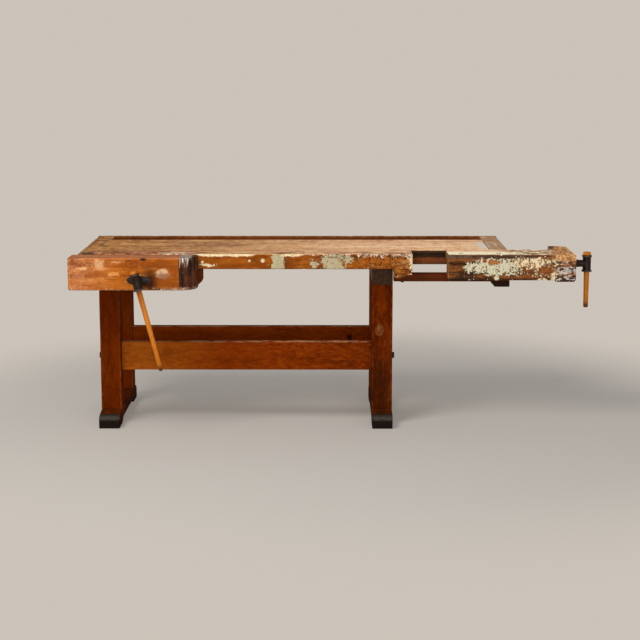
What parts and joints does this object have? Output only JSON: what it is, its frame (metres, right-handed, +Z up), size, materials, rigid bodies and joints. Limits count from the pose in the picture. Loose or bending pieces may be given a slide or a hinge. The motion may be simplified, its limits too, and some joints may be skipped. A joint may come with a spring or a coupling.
{
  "type": "woodworking bench",
  "caption": "Old joiner's bench on a trestle base, with a front vise, a sliding tail vise in a notch of the top, and a tool tray along the back.",
  "frame": {"origin": "on the floor, under the middle of the bench's box", "axes": "+X to the right along the bench, towards the tail vise; +Y from the front edge to the tool tray; +Z up"},
  "size_m": [2.352, 0.9162, 0.8],
  "materials": {
    "top_wood": "pale bench top, dry and worn, with dents, stains and paint chips at the edges",
    "tray_wood": "dark brown board, dusty and oil stained",
    "vise_wood": "orange brown hardwood with remains of cream and pale green paint",
    "base_wood": "reddish brown satin varnish over straight grain",
    "black_paint": "wood under worn satin black paint",
    "handle_wood": "honey coloured turned wood, polished by hands",
    "iron": "dark brown black cast iron, slightly oily",
    "steel": "bright turned steel, slightly tarnished"
  },
  "bodies": {
    "bench": {"front_plank": "top_wood", "main_plank": "top_wood", "left_end_cap": "top_wood", "right_end_cap": "top_wood", "tray_floor": "tray_wood", "tray_ramp": "tray_wood", "rear_rim": "tray_wood", "left_foot": "base_wood", "right_foot": "base_wood", "left_bearer": "black_paint", "right_bearer": "black_paint", "left_top_dowel": "handle_wood", "right_top_dowel": "handle_wood", "front_left_leg": "base_wood", "rear_left_leg": "base_wood", "front_right_leg": "base_wood", "rear_right_leg": "base_wood", "front_stretcher": "base_wood", "rear_stretcher": "base_wood", "front_left_bolt": "iron", "rear_left_bolt": "iron", "front_right_bolt": "iron", "rear_right_bolt": "iron", "front_left_bolt_nut": "iron", "rear_left_bolt_nut": "iron", "front_right_bolt_nut": "iron", "rear_right_bolt_nut": "iron", "front_fixed_jaw": "vise_wood", "front_screw_nut": "iron", "left_guide_bush": "iron", "right_guide_bush": "iron", "tail_fixed_jaw": "vise_wood", "tail_guide_rail": "vise_wood", "rail_bolt": "iron", "tail_nut_block": "vise_wood", "tail_screw_nut": "iron", "tail_arm_keeper": "vise_wood"},
    "front_jaw": {"front_jaw": "vise_wood", "left_guide_rod": "steel", "right_guide_rod": "steel", "front_flange_plate": "iron"},
    "front_screw": {"front_screw": "iron", "front_thrust_collar": "iron"},
    "front_handle": {"front_handle": "handle_wood"},
    "tail_vise": {"tail_block": "vise_wood", "tail_head": "vise_wood", "tail_cover": "top_wood", "tail_guide_shoe": "vise_wood", "tail_guide_arm": "vise_wood", "tail_flange_plate": "iron"},
    "tail_screw": {"tail_screw": "iron", "tail_thrust_collar": "iron"},
    "tail_handle": {"tail_handle": "handle_wood"}
  },
  "joints": [
    {"name": "front_jaw_slide", "type": "slide", "parent": "bench", "child": "front_jaw", "axis": [0, -1, 0], "range_m": [-0.0001, 0.2001]},
    {"name": "front_screw_turn", "type": "hinge", "parent": "front_jaw", "child": "front_screw", "pos_m": [-0.864, -0.36715, 0.7], "axis": [0, -1, 0], "range_deg": [0, 9000]},
    {"name": "front_handle_slide", "type": "slide", "parent": "front_screw", "child": "front_handle", "axis": [-0.2504, 0, 0.9681], "range_m": [0, 0.33]},
    {"name": "tail_vise_slide", "type": "slide", "parent": "bench", "child": "tail_vise", "axis": [1, 0, 0], "range_m": [-0.1581, 0.0401]},
    {"name": "tail_screw_turn", "type": "hinge", "parent": "tail_vise", "child": "tail_screw", "pos_m": [1.085, -0.11385, 0.742], "axis": [1, 0, 0], "range_deg": [-7110, 1800]},
    {"name": "tail_handle_slide", "type": "slide", "parent": "tail_screw", "child": "tail_handle", "axis": [0, 0, 1], "range_m": [0, 0.15]}
  ],
  "couplings": [
    {"joint": "front_jaw_slide", "follows": "front_screw_turn", "m_per_rad": 0.0012732},
    {"joint": "tail_vise_slide", "follows": "tail_screw_turn", "m_per_rad": 0.0012732}
  ]
}
